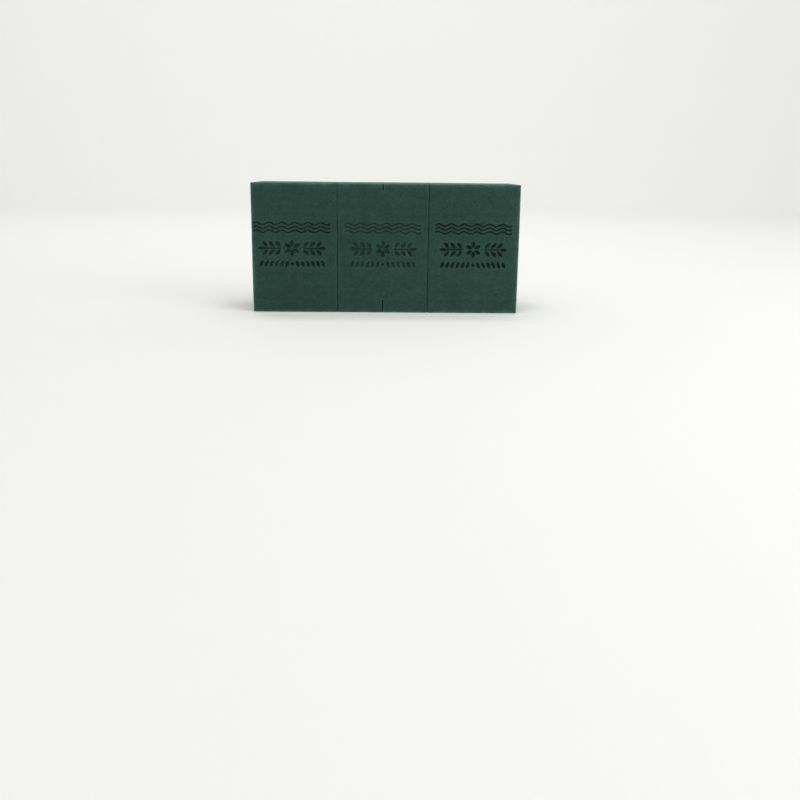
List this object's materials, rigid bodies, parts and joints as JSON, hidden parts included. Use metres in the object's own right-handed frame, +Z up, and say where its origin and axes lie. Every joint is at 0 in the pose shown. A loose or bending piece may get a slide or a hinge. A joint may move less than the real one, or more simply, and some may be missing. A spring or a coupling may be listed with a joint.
{
  "type": "floral foam brick",
  "caption": "Rectangular brick of green water-absorbing floral foam for holding cut flower stems, scored across one stamped face so it can be cut into sections.",
  "frame": {"origin": "middle of the long narrow side that the brick stands on", "axes": "+X to the right along the brick's length, +Y from the stamped face to the plain back, +Z up"},
  "size_m": [0.23, 0.08, 0.11],
  "materials": {
    "foam": "matte"
  },
  "bodies": {
    "root": {"left_section": "foam", "centre_section": "foam", "right_section": "foam"}
  },
  "joints": []
}
